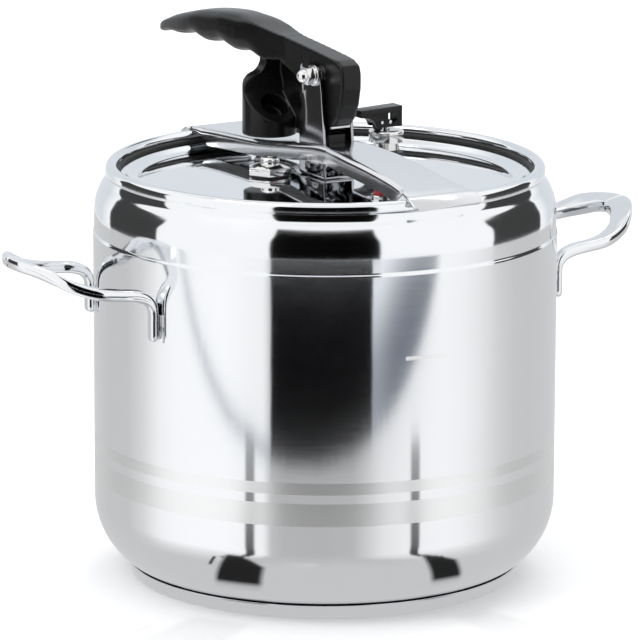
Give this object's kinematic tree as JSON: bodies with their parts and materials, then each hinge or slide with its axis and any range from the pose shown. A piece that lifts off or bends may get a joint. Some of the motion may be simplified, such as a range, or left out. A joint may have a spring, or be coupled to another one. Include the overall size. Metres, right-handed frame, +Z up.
{
  "type": "pressure canner",
  "caption": "Tall stainless steel pressure canner with an inside lid clamped by a sprung bridge and a black cam lever, with two looped side handles.",
  "frame": {"origin": "centre of the base underside, on the pot's axis", "axes": "+Z up out of the mouth; +Y the way the lever's grip points; +X across the lever, the side with the relief valve; the side handles stand 3.65 degrees off X"},
  "size_m": [0.328, 0.2658, 0.2592],
  "materials": {
    "polished_steel": "polished, finely brushed round the wall",
    "lid_steel": "mirror polished",
    "spring_steel": "bright satin",
    "valve_steel": "turned and bright",
    "bright_fastener": "bright plated",
    "aluminium_core": "plain",
    "black_phenolic": "satin moulded",
    "black_rubber": "matte",
    "red_silicone": "satin"
  },
  "bodies": {
    "pot": {"pot_body": "polished_steel", "base_core": "aluminium_core", "base_cap": "polished_steel", "handle_right": "polished_steel", "handle_left": "polished_steel", "weld_pads": "polished_steel"},
    "bridge_frame": {"bridge": "spring_steel", "wear_pad": "black_phenolic", "pad_rivets": "bright_fastener"},
    "lid": {"lid_disc": "lid_steel", "lid_gasket": "black_rubber", "fork": "spring_steel", "fork_rivets": "bright_fastener", "fork_doubler": "lid_steel", "pivot_bolt": "bright_fastener", "pivot_washers": "bright_fastener", "acorn_nut": "bright_fastener", "relief_body": "valve_steel", "relief_gasket": "black_rubber", "valve_nuts": "bright_fastener", "fulcrum_lug": "black_phenolic", "fulcrum_pin": "bright_fastener", "safety_body": "valve_steel", "safety_gasket": "black_rubber", "plug_eyelet": "valve_steel", "burst_plug": "red_silicone", "relief_spring": "bright_fastener", "safety_spring": "bright_fastener"},
    "lever": {"lever": "black_phenolic", "cam_plate": "spring_steel", "lever_bush": "bright_fastener"},
    "release": {"release_lever": "black_phenolic"},
    "stem": {"relief_stem": "valve_steel"},
    "plunger": {"safety_plunger": "valve_steel"}
  },
  "joints": [
    {"name": "lid_turn", "type": "hinge", "parent": "pot", "child": "bridge_frame", "pos_m": [0, 0, 0.2], "axis": [0, 0, 1], "continuous": true},
    {"name": "lid_drop", "type": "slide", "parent": "bridge_frame", "child": "lid", "axis": [0, 0, -1], "range_m": [0, 0.004]},
    {"name": "lever_swing", "type": "hinge", "parent": "lid", "child": "lever", "pos_m": [0, -0.0035, 0.2405], "axis": [1, 0, 0], "range_deg": [0, 90]},
    {"name": "release_rock", "type": "hinge", "parent": "lid", "child": "release", "pos_m": [0.0489, 0.0325, 0.2075], "axis": [0, -1, 0], "range_deg": [0, 12]},
    {"name": "stem_lift", "type": "slide", "parent": "lid", "child": "stem", "axis": [0, 0, 1], "range_m": [0, 0.00103], "deforming": ["relief_spring"]},
    {"name": "plunger_lift", "type": "slide", "parent": "lid", "child": "plunger", "axis": [0, 0, 1], "range_m": [0, 0.0015], "stiffness_N_per_m": 400, "springref_m": -0.004, "deforming": ["safety_spring"]}
  ],
  "couplings": [
    {"joint": "lever_swing", "follows": "lid_drop", "rad_per_m": 392.69},
    {"joint": "release_rock", "follows": "stem_lift", "rad_per_m": 203}
  ]
}
